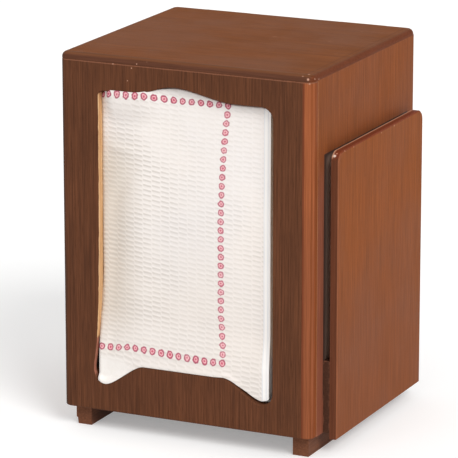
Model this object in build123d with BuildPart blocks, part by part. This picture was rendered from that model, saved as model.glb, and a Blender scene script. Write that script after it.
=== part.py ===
from build123d import *
import os
from math import cos, pi, sin, sqrt

# Napkin holder: a small stained plywood case with a window in front, a hinged lid,
# a sprung pusher behind the napkins and a card pocket on its right side.
# Millimetres. +X is the holder's right side seen from the front, -Y the front, +Z up.
# The origin is on the table, under the middle of the holder's overall box.

# Case
case_width = 100.0
case_depth = 94.0
case_height = 133.3
front_thickness = 4.5
wall_thickness = 5.0
rear_thickness = 5.0
base_thickness = 5.0
lid_thickness = 2.4
front_arris_radius = 3.0
rear_arris_radius = 2.4
lid_edge_radius = 2.0
panel_ease = 0.6

# Window in the front panel, from the case's centre line and bottom
window_side_margin = 15.5
window_head = 13.1
window_floor = 10.6
window_top_left_radius = 1.8
window_top_right_radius = 4.5
window_bottom_radius = 4.6
window_ease = 0.5
thumb_arch_rise = 3.8
thumb_arch_half_span = 20.0
thumb_arch_centre = -1.0
thumb_arch_lean = 3.0
thumb_arch_ease = 6.5
sill_rise = 8.4
sill_half_width = 15.75
sill_centre = -1.25
sill_ease = 4.0
left_flare = 2.7
left_flare_start = 95.0
left_flare_end = 15.6
left_flare_lead = 80.0
left_flare_ease = 6.0

# Runners under the case
runner_width = 6.2
runner_height = 7.9
runner_inset = 3.0
runner_rear_gap = 5.0
runner_chip_width = 0.8
runner_chip_lip = 0.5
runner_chip_height = 2.4
runner_chip_length = 9.0
runner_screw_inset = 12.0
runner_screw_edge = 1.6

# Card pocket on the right wall
pocket_gap = 2.5
plate_thickness = 3.0
plate_front_inset = 10.4
plate_rear_inset = 5.4
plate_head = 29.2
plate_drop = 2.1
plate_corner_radius = 4.0
plate_ease = 0.4
spacer_top = 27.0

# Napkins
napkin_side_gap = 3.0
napkin_headroom = 5.6
front_napkin_thickness = 1.0
stack_depth = 56.0
stack_corner_radius = 2.0
napkin_gap = 0.8
soft_gap = 0.3

# Pusher
pusher_thickness = 4.0
pusher_side_gap = 0.8
pusher_headroom = 11.6
pusher_floor_gap = 0.3
pusher_corner_radius = 4.0
pusher_ease = 0.5
finger_hole_radius = 10.0
finger_hole_drop = 18.0
foot_batten_inset = 12.2
foot_batten_size = 8.0
foot_batten_chamfer = 2.0

# Tapered spring between the pusher and the rear wall
spring_wire_radius = 0.6
spring_front_radius = 10.0
spring_rear_radius = 24.0
spring_turns = 5.5
spring_height = 52.0
spring_seat_turns = 0.7
spring_seat_gap = 0.05
staple_wire_radius = 0.35
staple_leg_depth = 3.0
staple_gap = 0.12
staple_bend_radius = 0.5
staple_count = 3
staple_first_turn = 0.08
staple_turn_step = 0.27

# Hinges of the lid
hinge_length = 18.0
hinge_inset = 22.0
hinge_leaf_thickness = 0.8
hinge_leaf_recess = 0.1
hinge_leaf_width = 4.4
hinge_knuckle_radius = 1.6
hinge_knuckle_gap = 0.2
hinge_middle_knuckle = 6.0
hinge_wall_clearance = 0.3
hinge_pin_radius = 0.7
hinge_pin_fit = 0.02
hinge_running_fit = 0.06
hinge_pin_head_radius = 1.1
hinge_pin_head = 0.5
mortise_clearance = 0.15

# Screws
hinge_screw_radius = 0.8
hinge_screw_head_radius = 1.5
hinge_screw_spacing = 10.6
hinge_wall_screw_length = 7.0
hinge_lid_screw_length = 1.9
runner_screw_radius = 1.0
runner_screw_head_radius = 1.9
runner_screw_head_sink = 0.3
runner_screw_bite = 4.0
countersink_angle = 90.0
screw_fit = 0.05

# Heights and depths that follow from them
case_x = -(pocket_gap + plate_thickness) / 2
hinge_overhang = 2 * hinge_knuckle_radius + hinge_wall_clearance
case_y = -hinge_overhang / 2
front_face = -case_depth / 2
front_inside = front_face + front_thickness
rear_face = case_depth / 2
rear_inside = rear_face - rear_thickness
side_inside = case_width / 2 - wall_thickness
case_bottom = runner_height
case_top = case_bottom + case_height
lid_underside = case_top - lid_thickness
panel_height = lid_underside - case_bottom
base_top = case_bottom + base_thickness
window_half_width = case_width / 2 - window_side_margin
window_top = case_top - window_head
plate_top = case_top - plate_head
napkin_width = 2 * (side_inside - napkin_side_gap)
napkin_bottom = base_top + soft_gap
napkin_height = lid_underside - napkin_headroom - napkin_bottom
napkin_front = front_inside + napkin_gap
stack_front = napkin_front + front_napkin_thickness + soft_gap
stack_rear = stack_front + stack_depth
pusher_front = stack_rear + soft_gap
pusher_rear = pusher_front + pusher_thickness
pusher_bottom = base_top + pusher_floor_gap
pusher_top = lid_underside - pusher_headroom
pusher_half_width = side_inside - pusher_side_gap
spring_middle = base_top + spring_height
hinge_centre = case_width / 2 - hinge_inset
hinge_axis = rear_face + hinge_wall_clearance + hinge_knuckle_radius
sides = (("left", -1), ("right", 1))

os.makedirs("parts", exist_ok=True)


def level(height):
    """A level plane over the middle of the case: x to the right, y to the back."""
    return Plane((case_x, case_y, height))


def facing_front(depth):
    """An upright plane across the case: x to the right, y up, normal to the front."""
    return Plane((case_x, case_y + depth, 0), x_dir=(1, 0, 0), z_dir=(0, -1, 0))


def facing_down(height):
    """A level plane seen from below: x to the right, y to the front."""
    return Plane((case_x, case_y, height), x_dir=(1, 0, 0), z_dir=(0, 0, -1))


def facing_right(across):
    """An upright plane along the case: x to the back, y up, normal to the right."""
    return Plane((case_x + across, case_y, 0), x_dir=(0, 1, 0), z_dir=(1, 0, 0))


def save(piece, name):
    """Names the finished piece and writes its file."""
    piece.part.label = name
    export_step(piece.part, f"parts/{name}.step")


def countersunk_screw(radius, head_radius, length):
    """A screw with its flat head at the current place, driven away from its normal."""
    below = (Align.CENTER, Align.CENTER, Align.MAX)
    Cylinder(radius, length, align=below)
    Cone(radius, head_radius, head_radius - radius, align=below)


def flat_s(start, end, ease):
    """An S curve that leaves start and reaches end level."""
    way = ease if end[0] > start[0] else -ease
    Bezier(start, (start[0] + way, start[1]), (end[0] - way, end[1]), end)


def window_outline():
    """The window: a thumb arch at the top, and a raised sill between two notches."""
    left, right = -window_half_width, window_half_width
    top, floor = window_top, case_bottom + window_floor
    arch_left = thumb_arch_centre - thumb_arch_half_span
    arch_right = thumb_arch_centre + thumb_arch_half_span
    arch_top = (thumb_arch_centre - thumb_arch_lean, top + thumb_arch_rise)
    sill = floor + sill_rise
    sill_left = sill_centre - sill_half_width
    sill_right = sill_centre + sill_half_width
    flare_start = case_bottom + left_flare_start
    flare_end = case_bottom + left_flare_end
    flare = left - left_flare
    notch_left = left + window_bottom_radius - left_flare

    Line((left, flare_start), (left, top - window_top_left_radius))
    RadiusArc(
        (left, top - window_top_left_radius),
        (left + window_top_left_radius, top),
        window_top_left_radius,
    )
    Line((left + window_top_left_radius, top), (arch_left, top))
    flat_s((arch_left, top), arch_top, thumb_arch_ease)
    flat_s(arch_top, (arch_right, top), thumb_arch_ease)
    Line((arch_right, top), (right - window_top_right_radius, top))
    RadiusArc(
        (right - window_top_right_radius, top),
        (right, top - window_top_right_radius),
        window_top_right_radius,
    )
    Line((right, top - window_top_right_radius), (right, floor + window_bottom_radius))
    RadiusArc(
        (right, floor + window_bottom_radius),
        (right - window_bottom_radius, floor),
        window_bottom_radius,
    )
    flat_s((right - window_bottom_radius, floor), (sill_right, sill), sill_ease)
    Line((sill_right, sill), (sill_left, sill))
    flat_s((sill_left, sill), (notch_left, floor), sill_ease)
    Bezier(
        (notch_left, floor),
        ((notch_left + flare) / 2, floor),
        (flare, (floor + flare_end) / 2),
        (flare, flare_end),
    )
    Bezier(
        (flare, flare_end),
        (flare, flare_end + left_flare_ease),
        (left, flare_start - left_flare_lead),
        (left, flare_start),
    )


# Front panel, glued over the front edges of the walls and the base
with BuildPart() as front_panel:
    with BuildSketch(facing_front(front_inside)):
        with Locations((0, case_bottom + panel_height / 2)):
            Rectangle(case_width, panel_height)
    extrude(amount=front_thickness)
    front_rim = front_panel.faces().sort_by(Axis.Y)[0].edges()
    fillet(front_rim.filter_by(Axis.Z), front_arris_radius)
    outline = front_panel.faces().sort_by(Axis.Y)[0].edges().filter_by(Axis.X)
    fillet(outline, panel_ease)
    with BuildSketch(facing_front(front_inside)):
        with BuildLine():
            window_outline()
        make_face()
    extrude(amount=front_thickness, mode=Mode.SUBTRACT)
    rim = front_panel.faces().sort_by(Axis.Y)[0].inner_wires()[0].edges()
    fillet(rim, window_ease)
save(front_panel, "front_panel")


# Side walls, running from the front panel to the back
for name, side in sides:
    with BuildPart() as wall:
        with BuildSketch(facing_right(side * side_inside)):
            with Locations(((front_inside + rear_face) / 2, case_bottom + panel_height / 2)):
                Rectangle(rear_face - front_inside, panel_height)
        extrude(amount=side * wall_thickness)
        outer_face = wall.faces().sort_by(Axis.X)[-1 if side > 0 else 0]
        fillet(outer_face.edges().filter_by(Axis.Z).sort_by(Axis.Y)[-1], rear_arris_radius)
    save(wall, f"{name}_wall")


# Hinge places: the leaves are let into the lid and into the rear wall's top edge
screw_row = (rear_inside + rear_face) / 2 - hinge_wall_clearance
mortise_depth = hinge_leaf_thickness + hinge_leaf_recess
mortise_length = hinge_length + 2 * mortise_clearance
mortise_width = hinge_leaf_width + mortise_clearance
hinge_screw_places = [
    (centre * hinge_centre + step * hinge_screw_spacing / 2, screw_row)
    for centre in (-1, 1)
    for step in (-1, 1)
]
screw_hole_radius = hinge_screw_radius + screw_fit
runner_screw_hole_radius = runner_screw_radius + screw_fit
runner_centre = case_width / 2 - runner_inset - runner_width / 2
runner_screw_line = side_inside - runner_screw_edge
runner_front = front_inside
runner_rear = rear_face - runner_rear_gap
runner_screw_depths = (runner_front + runner_screw_inset, runner_rear - runner_screw_inset)
runner_screw_top = case_bottom + runner_screw_bite


def staple_legs(coil_radius, coil_turn):
    """Where a staple's two legs enter the wood, either side of the coil's wire."""
    turn_angle = 2 * pi * coil_turn
    reach = spring_wire_radius + staple_gap + staple_wire_radius
    return [
        (
            (coil_radius + step * reach) * cos(turn_angle),
            (coil_radius + step * reach) * sin(turn_angle),
        )
        for step in (-1, 1)
    ]


def coil_radius(turn):
    """Radius of the spring's centre line, from its front end at turn 0."""
    share = turn / spring_turns
    return spring_front_radius + (spring_rear_radius - spring_front_radius) * share


front_staple_turns = [staple_first_turn + staple_turn_step * i for i in range(staple_count)]
rear_staple_turns = [spring_turns - turn for turn in front_staple_turns]
staple_hole_radius = staple_wire_radius + staple_gap


def staple_holes(turns):
    """The places of the leg holes for staples over the coil at these turns."""
    return [
        (x, spring_middle + z)
        for turn in turns
        for x, z in staple_legs(coil_radius(turn), turn)
    ]


# Rear wall between the side walls, with two hinge mortises in its top edge
with BuildPart() as rear_wall:
    with BuildSketch(facing_front(rear_face)):
        with Locations((0, case_bottom + panel_height / 2)):
            Rectangle(2 * side_inside, panel_height)
    extrude(amount=rear_thickness)
    with BuildSketch(level(lid_underside)):
        with Locations((-hinge_centre, rear_face), (hinge_centre, rear_face)):
            Rectangle(mortise_length, 2 * mortise_width)
    extrude(amount=-mortise_depth, mode=Mode.SUBTRACT)
    with BuildSketch(level(lid_underside)):
        with Locations(*hinge_screw_places):
            Circle(screw_hole_radius)
    extrude(amount=-mortise_depth - hinge_wall_screw_length, mode=Mode.SUBTRACT)
    with BuildSketch(facing_front(rear_inside)):
        with Locations(*staple_holes(rear_staple_turns)):
            Circle(staple_hole_radius)
    extrude(amount=-staple_leg_depth - staple_gap, mode=Mode.SUBTRACT)
save(rear_wall, "rear_wall")


# Base board, inside the walls
with BuildPart() as base_board:
    with BuildSketch(level(case_bottom)):
        with Locations((0, (front_inside + rear_inside) / 2)):
            Rectangle(2 * side_inside, rear_inside - front_inside)
    extrude(amount=base_thickness)
    with BuildSketch(level(case_bottom)):
        for depth in runner_screw_depths:
            with Locations((-runner_screw_line, depth), (runner_screw_line, depth)):
                Circle(runner_screw_hole_radius)
    extrude(amount=runner_screw_bite + screw_fit, mode=Mode.SUBTRACT)
save(base_board, "base_board")


# Runners, screwed up into the base from below; the left one has lost its front corner
for name, side in sides:
    with BuildPart() as runner:
        with BuildSketch(level(0)):
            with Locations((side * runner_centre, (runner_front + runner_rear) / 2)):
                Rectangle(runner_width, runner_rear - runner_front)
        extrude(amount=runner_height)
        if side < 0:
            outside = side * (runner_centre + runner_width / 2)
            with BuildSketch(facing_front(runner_front)):
                with BuildLine():
                    Polyline(
                        (outside, runner_chip_height),
                        (outside + runner_chip_lip, runner_chip_height),
                        (outside + runner_chip_width, 0),
                        (outside, 0),
                        close=True,
                    )
                make_face()
            extrude(amount=-runner_chip_length, mode=Mode.SUBTRACT)
        with Locations(facing_down(0)):
            with Locations(*[(side * runner_screw_line, -depth) for depth in runner_screw_depths]):
                CounterSinkHole(
                    runner_screw_hole_radius,
                    runner_screw_head_radius + screw_fit + runner_screw_head_sink,
                    runner_height,
                    countersink_angle,
                )
    save(runner, f"{name}_runner")


# Screws through the runners into the base
with BuildPart() as runner_screws:
    with Locations(facing_down(runner_screw_head_sink)):
        with Locations(
            *[
                (side * runner_screw_line, -depth)
                for name, side in sides
                for depth in runner_screw_depths
            ]
        ):
            countersunk_screw(
                runner_screw_radius,
                runner_screw_head_radius,
                runner_screw_top - runner_screw_head_sink,
            )
save(runner_screws, "runner_screws")


# Card plate, held off the right wall by a strip that closes the pocket's bottom
plate_front = front_face + plate_front_inset
plate_rear = rear_face - plate_rear_inset
plate_middle = (plate_front + plate_rear) / 2
plate_bottom = case_bottom - plate_drop
with BuildPart() as card_plate:
    with BuildSketch(facing_right(case_width / 2 + pocket_gap)) as plate_side:
        with Locations((plate_middle, (plate_top + plate_bottom) / 2)):
            Rectangle(plate_rear - plate_front, plate_top - plate_bottom)
        fillet(plate_side.vertices().group_by(Axis.Y)[-1], plate_corner_radius)
    extrude(amount=plate_thickness)
    chamfer(card_plate.faces().sort_by(Axis.X)[-1].edges(), plate_ease)
save(card_plate, "card_plate")

with BuildPart() as card_pocket_spacer:
    with BuildSketch(facing_right(case_width / 2)):
        with Locations((plate_middle, case_bottom + spacer_top / 2)):
            Rectangle(plate_rear - plate_front, spacer_top)
    extrude(amount=pocket_gap)
save(card_pocket_spacer, "card_pocket_spacer")


# Napkins: the stack, and the folded napkin in front that shows in the window
with BuildPart() as napkin_stack:
    with BuildSketch(facing_front(stack_rear)):
        with Locations((0, napkin_bottom + napkin_height / 2)):
            Rectangle(napkin_width, napkin_height)
    extrude(amount=stack_depth)
    fillet(napkin_stack.edges().filter_by(Axis.Z), stack_corner_radius)
save(napkin_stack, "napkin_stack")

with BuildPart() as front_napkin:
    with BuildSketch(facing_front(napkin_front + front_napkin_thickness)):
        with Locations((0, napkin_bottom + napkin_height / 2)):
            Rectangle(napkin_width, napkin_height)
    extrude(amount=front_napkin_thickness)
save(front_napkin, "front_napkin")


# Pusher: a plate with a finger hole, and a batten that keeps it upright on the base
with BuildPart() as pusher_plate:
    with BuildSketch(facing_front(pusher_rear)) as pusher_face:
        with Locations((0, (pusher_bottom + pusher_top) / 2)):
            Rectangle(2 * pusher_half_width, pusher_top - pusher_bottom)
        fillet(pusher_face.vertices().group_by(Axis.Y)[-1], pusher_corner_radius)
        with Locations((0, pusher_top - finger_hole_drop)):
            Circle(finger_hole_radius, mode=Mode.SUBTRACT)
    extrude(amount=pusher_thickness)
    pusher_back = pusher_plate.faces().sort_by(Axis.Y)[-1]
    fillet(pusher_back.inner_wires().edges(), pusher_ease)
    with BuildSketch(facing_front(pusher_rear)):
        with Locations(*staple_holes(front_staple_turns)):
            Circle(staple_hole_radius)
    extrude(amount=staple_leg_depth + staple_gap, mode=Mode.SUBTRACT)
save(pusher_plate, "pusher_plate")

with BuildPart() as pusher_foot:
    with BuildSketch(level(pusher_bottom)):
        with Locations((0, pusher_rear + foot_batten_size / 2)):
            Rectangle(2 * (pusher_half_width - foot_batten_inset), foot_batten_size)
    extrude(amount=foot_batten_size)
    top_rear = pusher_foot.edges().filter_by(Axis.X).group_by(Axis.Z)[-1].sort_by(Axis.Y)[-1]
    chamfer(top_rear, foot_batten_chamfer)
save(pusher_foot, "pusher_foot")


# Spring: a tapered coil, closed flat at both ends, as one unbroken round wire
coil_start = pusher_rear + spring_seat_gap + spring_wire_radius
coil_end = rear_inside - spring_seat_gap - spring_wire_radius
coil_growth = (spring_rear_radius - spring_front_radius) / spring_turns
rising_turns = spring_turns - 2 * spring_seat_turns


def coil_point(turn):
    """A point of the wire's centre line."""
    share = min(max((turn - spring_seat_turns) / rising_turns, 0), 1)
    rise = share * share * (3 - 2 * share)
    return Vector(
        case_x + coil_radius(turn) * cos(2 * pi * turn),
        case_y + coil_start + (coil_end - coil_start) * rise,
        spring_middle + coil_radius(turn) * sin(2 * pi * turn),
    )


def coil_direction(turn):
    """The way the wire runs at that point."""
    share = min(max((turn - spring_seat_turns) / rising_turns, 0), 1)
    angle = 2 * pi * turn
    around = 2 * pi * coil_radius(turn)
    return Vector(
        coil_growth * cos(angle) - around * sin(angle),
        (coil_end - coil_start) * 6 * share * (1 - share) / rising_turns,
        coil_growth * sin(angle) + around * cos(angle),
    ).normalized()


def biarc(start, start_way, end, end_way):
    """Two arcs that leave start along start_way, meet smoothly and reach end along end_way."""
    across = end - start
    ways = start_way + end_way
    turned = 2 * (1 - start_way.dot(end_way))
    along = across.dot(ways)
    reach = (sqrt(along * along + turned * across.dot(across)) - along) / turned
    middle = (start + end + (start_way - end_way) * reach) / 2
    middle_way = (across - ways * reach).normalized()
    TangentArc(start, middle, tangent=start_way)
    TangentArc(middle, end, tangent=middle_way)


with BuildPart() as pusher_spring:
    with BuildLine() as spring_wire:
        for half_turn in range(round(2 * spring_turns)):
            here, there = half_turn / 2, (half_turn + 1) / 2
            biarc(coil_point(here), coil_direction(here), coil_point(there), coil_direction(there))
    with BuildSketch(Plane(spring_wire.line @ 0, z_dir=spring_wire.line % 0)):
        Circle(spring_wire_radius)
    sweep(path=spring_wire.line)
save(pusher_spring, "pusher_spring")

samples_per_turn = 48
coil_samples = [
    coil_point(step / samples_per_turn) for step in range(round(spring_turns * samples_per_turn) + 1)
]
least_gap = min(
    (coil_samples[i] - coil_samples[j]).length - 2 * spring_wire_radius
    for i in range(len(coil_samples))
    for j in range(i + samples_per_turn // 2, len(coil_samples))
)
print(f"least gap between the spring's turns {least_gap:.2f} mm")


# Staples that hold the spring's end coils to the pusher and to the rear wall
def staple_path(turn, wood_face, outward):
    """Draws one staple over the coil: two legs in the wood and a crown outside it."""
    crown = 2 * spring_wire_radius + spring_seat_gap + staple_gap + staple_wire_radius
    first, second = staple_legs(coil_radius(turn), turn)
    FilletPolyline(
        *[
            (case_x + x, case_y + wood_face + outward * height, spring_middle + z)
            for (x, z), height in (
                (first, -staple_leg_depth),
                (first, crown),
                (second, crown),
                (second, -staple_leg_depth),
            )
        ],
        radius=staple_bend_radius,
    )


for name, turns, wood_face, outward in (
    ("pusher_staples", front_staple_turns, pusher_rear, 1),
    ("rear_staples", rear_staple_turns, rear_inside, -1),
):
    with BuildPart() as staples:
        for turn in turns:
            with BuildLine() as staple_wire:
                staple_path(turn, wood_face, outward)
            with BuildSketch(Plane(staple_wire.line @ 0, z_dir=staple_wire.line % 0)):
                Circle(staple_wire_radius)
            sweep(path=staple_wire.line)
    save(staples, name)


# Lid, rounded over its edges, with the hinge mortises in its underside
with BuildPart() as top_lid:
    with BuildSketch(level(lid_underside)):
        Rectangle(case_width, case_depth)
    extrude(amount=lid_thickness)
    fillet(top_lid.edges().filter_by(Axis.Z), front_arris_radius)
    fillet(top_lid.faces().sort_by(Axis.Z)[-1].edges(), lid_edge_radius)
    with BuildSketch(level(lid_underside)):
        with Locations((-hinge_centre, rear_face), (hinge_centre, rear_face)):
            Rectangle(mortise_length, 2 * mortise_width)
    extrude(amount=mortise_depth, mode=Mode.SUBTRACT)
    with BuildSketch(level(lid_underside)):
        with Locations(*hinge_screw_places):
            Circle(screw_hole_radius)
    extrude(amount=hinge_lid_screw_length + hinge_leaf_recess + screw_fit, mode=Mode.SUBTRACT)
save(top_lid, "top_lid")


# Hinges: a fixed leaf with two knuckles, a lid leaf with one between them, and a pin
def hinge_screws_of(side):
    """The two screw places of one hinge, in plan."""
    return [place for place in hinge_screw_places if place[0] * side > 0]


leaf_inner_edge = rear_face - hinge_leaf_width
leaf_middle = (leaf_inner_edge + hinge_axis) / 2
knuckle_clearance = hinge_knuckle_radius + hinge_knuckle_gap
for name, side in sides:
    centre = side * hinge_centre
    with BuildPart() as fixed_leaf:
        with BuildSketch(level(lid_underside - mortise_depth)):
            with Locations((centre, leaf_middle)):
                Rectangle(hinge_length, hinge_axis - leaf_inner_edge)
        extrude(amount=hinge_leaf_thickness)
        with BuildSketch(facing_right(centre - hinge_length / 2)):
            with Locations((hinge_axis, lid_underside)):
                Circle(hinge_knuckle_radius)
        extrude(amount=hinge_length)
        with Locations((case_x + centre, case_y + hinge_axis, lid_underside)):
            Box(
                hinge_middle_knuckle + 2 * hinge_knuckle_gap,
                2 * knuckle_clearance,
                2 * knuckle_clearance,
                mode=Mode.SUBTRACT,
            )
        with BuildSketch(facing_right(centre - hinge_length / 2)):
            with Locations((hinge_axis, lid_underside)):
                Circle(hinge_pin_radius + hinge_pin_fit)
        extrude(amount=hinge_length, mode=Mode.SUBTRACT)
        with Locations(level(lid_underside - hinge_leaf_recess)):
            with Locations(*hinge_screws_of(side)):
                CounterSinkHole(
                    screw_hole_radius,
                    hinge_screw_head_radius + screw_fit,
                    hinge_leaf_thickness,
                    countersink_angle,
                )
    save(fixed_leaf, f"{name}_hinge_fixed_leaf")

    with BuildPart() as lid_leaf:
        with BuildSketch(level(lid_underside + hinge_leaf_recess)):
            with Locations((centre, leaf_middle)):
                Rectangle(hinge_length, hinge_axis - leaf_inner_edge)
        extrude(amount=hinge_leaf_thickness)
        with BuildSketch(facing_right(centre - hinge_middle_knuckle / 2)):
            with Locations((hinge_axis, lid_underside)):
                Circle(hinge_knuckle_radius)
        extrude(amount=hinge_middle_knuckle)
        for step in (-1, 1):
            cut_middle = centre + step * (hinge_length + hinge_middle_knuckle) / 4
            with Locations((case_x + cut_middle, case_y + hinge_axis, lid_underside)):
                Box(
                    (hinge_length - hinge_middle_knuckle) / 2,
                    2 * knuckle_clearance,
                    2 * knuckle_clearance,
                    mode=Mode.SUBTRACT,
                )
        with BuildSketch(facing_right(centre - hinge_length / 2)):
            with Locations((hinge_axis, lid_underside)):
                Circle(hinge_pin_radius + hinge_running_fit)
        extrude(amount=hinge_length, mode=Mode.SUBTRACT)
        with Locations(facing_down(lid_underside + hinge_leaf_recess)):
            with Locations(*[(x, -y) for x, y in hinge_screws_of(side)]):
                CounterSinkHole(
                    screw_hole_radius,
                    hinge_screw_head_radius + screw_fit,
                    hinge_leaf_thickness,
                    countersink_angle,
                )
    save(lid_leaf, f"{name}_hinge_lid_leaf")

    with BuildPart() as hinge_pin:
        with BuildSketch(facing_right(centre - hinge_length / 2 - hinge_pin_head)):
            with Locations((hinge_axis, lid_underside)):
                Circle(hinge_pin_radius)
        extrude(amount=hinge_length + 2 * hinge_pin_head)
        for start in (centre - hinge_length / 2 - hinge_pin_head, centre + hinge_length / 2):
            with BuildSketch(facing_right(start)):
                with Locations((hinge_axis, lid_underside)):
                    Circle(hinge_pin_head_radius)
            extrude(amount=hinge_pin_head)
    save(hinge_pin, f"{name}_hinge_pin")


# Hinge screws, down into the rear wall and up into the lid
with BuildPart() as hinge_wall_screws:
    with Locations(level(lid_underside - hinge_leaf_recess)):
        with Locations(*hinge_screw_places):
            countersunk_screw(
                hinge_screw_radius, hinge_screw_head_radius, hinge_wall_screw_length
            )
save(hinge_wall_screws, "hinge_wall_screws")

with BuildPart() as hinge_lid_screws:
    with Locations(facing_down(lid_underside + hinge_leaf_recess)):
        with Locations(*[(x, -y) for x, y in hinge_screw_places]):
            countersunk_screw(
                hinge_screw_radius, hinge_screw_head_radius, hinge_lid_screw_length
            )
save(hinge_lid_screws, "hinge_lid_screws")
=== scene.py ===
# %% [markdown]
# # A napkin holder, dressed in Blender
# The holder is a small stained plywood case. Folded paper napkins stand in it, a sprung pusher
# keeps them at the window in its front, and a card slides into the pocket on its right side.
# The case, lid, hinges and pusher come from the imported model, already at their real size and
# place, so this script gives them their finish and never moves them. What is soft or wound,
# the napkins and the spring, is modelled here in their place.

import bmesh
import bpy
import math
import numpy as np
from functools import reduce
from mathutils import Matrix, Vector, noise
from mathutils.kdtree import KDTree


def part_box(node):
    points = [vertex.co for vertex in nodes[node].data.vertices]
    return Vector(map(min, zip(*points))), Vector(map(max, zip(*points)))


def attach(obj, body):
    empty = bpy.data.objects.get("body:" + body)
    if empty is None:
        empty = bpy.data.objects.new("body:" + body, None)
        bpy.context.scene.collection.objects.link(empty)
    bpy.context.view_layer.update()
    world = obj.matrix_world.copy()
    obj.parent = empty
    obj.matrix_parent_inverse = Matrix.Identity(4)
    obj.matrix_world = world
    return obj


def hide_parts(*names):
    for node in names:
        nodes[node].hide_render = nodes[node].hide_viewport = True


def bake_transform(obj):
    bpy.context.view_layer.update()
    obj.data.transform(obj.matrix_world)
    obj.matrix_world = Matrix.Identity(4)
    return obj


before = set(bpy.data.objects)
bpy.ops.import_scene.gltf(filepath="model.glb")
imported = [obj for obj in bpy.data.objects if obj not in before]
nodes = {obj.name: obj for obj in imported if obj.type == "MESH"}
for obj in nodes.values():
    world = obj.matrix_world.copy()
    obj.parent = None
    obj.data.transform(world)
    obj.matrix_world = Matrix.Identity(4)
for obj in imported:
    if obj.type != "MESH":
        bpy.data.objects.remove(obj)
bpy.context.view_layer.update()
bpy.ops.object.select_all(action="DESELECT")
mm = 0.001

# %% [markdown]
# ## The camera
# A camera is easier to set by where it looks than by where it stands. Here it turns about a
# point inside the holder: yaw swings it to the right, pitch lifts it, roll tips it a little,
# and the distance and the long lens give the photograph's weak perspective.

# %% Set the camera
look_at = Vector((-5.6, -5.48, 69.99)) * mm
camera_yaw = math.radians(25.26)
camera_pitch = math.radians(14.79)
camera_roll = math.radians(-0.03)
camera_distance = 1.2966
camera_lens = 275.3

turn = (
    Matrix.Rotation(camera_yaw, 4, "Z")
    @ Matrix.Rotation(math.pi / 2 - camera_pitch, 4, "X")
    @ Matrix.Rotation(camera_roll, 4, "Z")
)
bpy.ops.object.camera_add()
camera = bpy.context.object
camera.name = "camera"
camera.matrix_world = Matrix.Translation(look_at) @ turn @ Matrix.Translation((0, 0, camera_distance))
camera.data.lens = camera_lens
bpy.context.scene.camera = camera
print("camera at", [round(v, 3) for v in camera.matrix_world.translation])

# %% [markdown]
# ## Helpers for materials
# A procedural material is a chain of small sums. Written out node by node it fills pages, so
# one short class adds a node, sets its sockets and hands back its output. A number is typed
# into the socket, and another node's output is linked to it.

# %% A class that builds a material
def paint(*colour):
    """A colour as picked from a photograph, 0 to 255, turned into the light that it gives back."""
    return [((c / 255 + 0.055) / 1.055) ** 2.4 if c > 10 else c / 3295 for c in colour] + [1.0]


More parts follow.
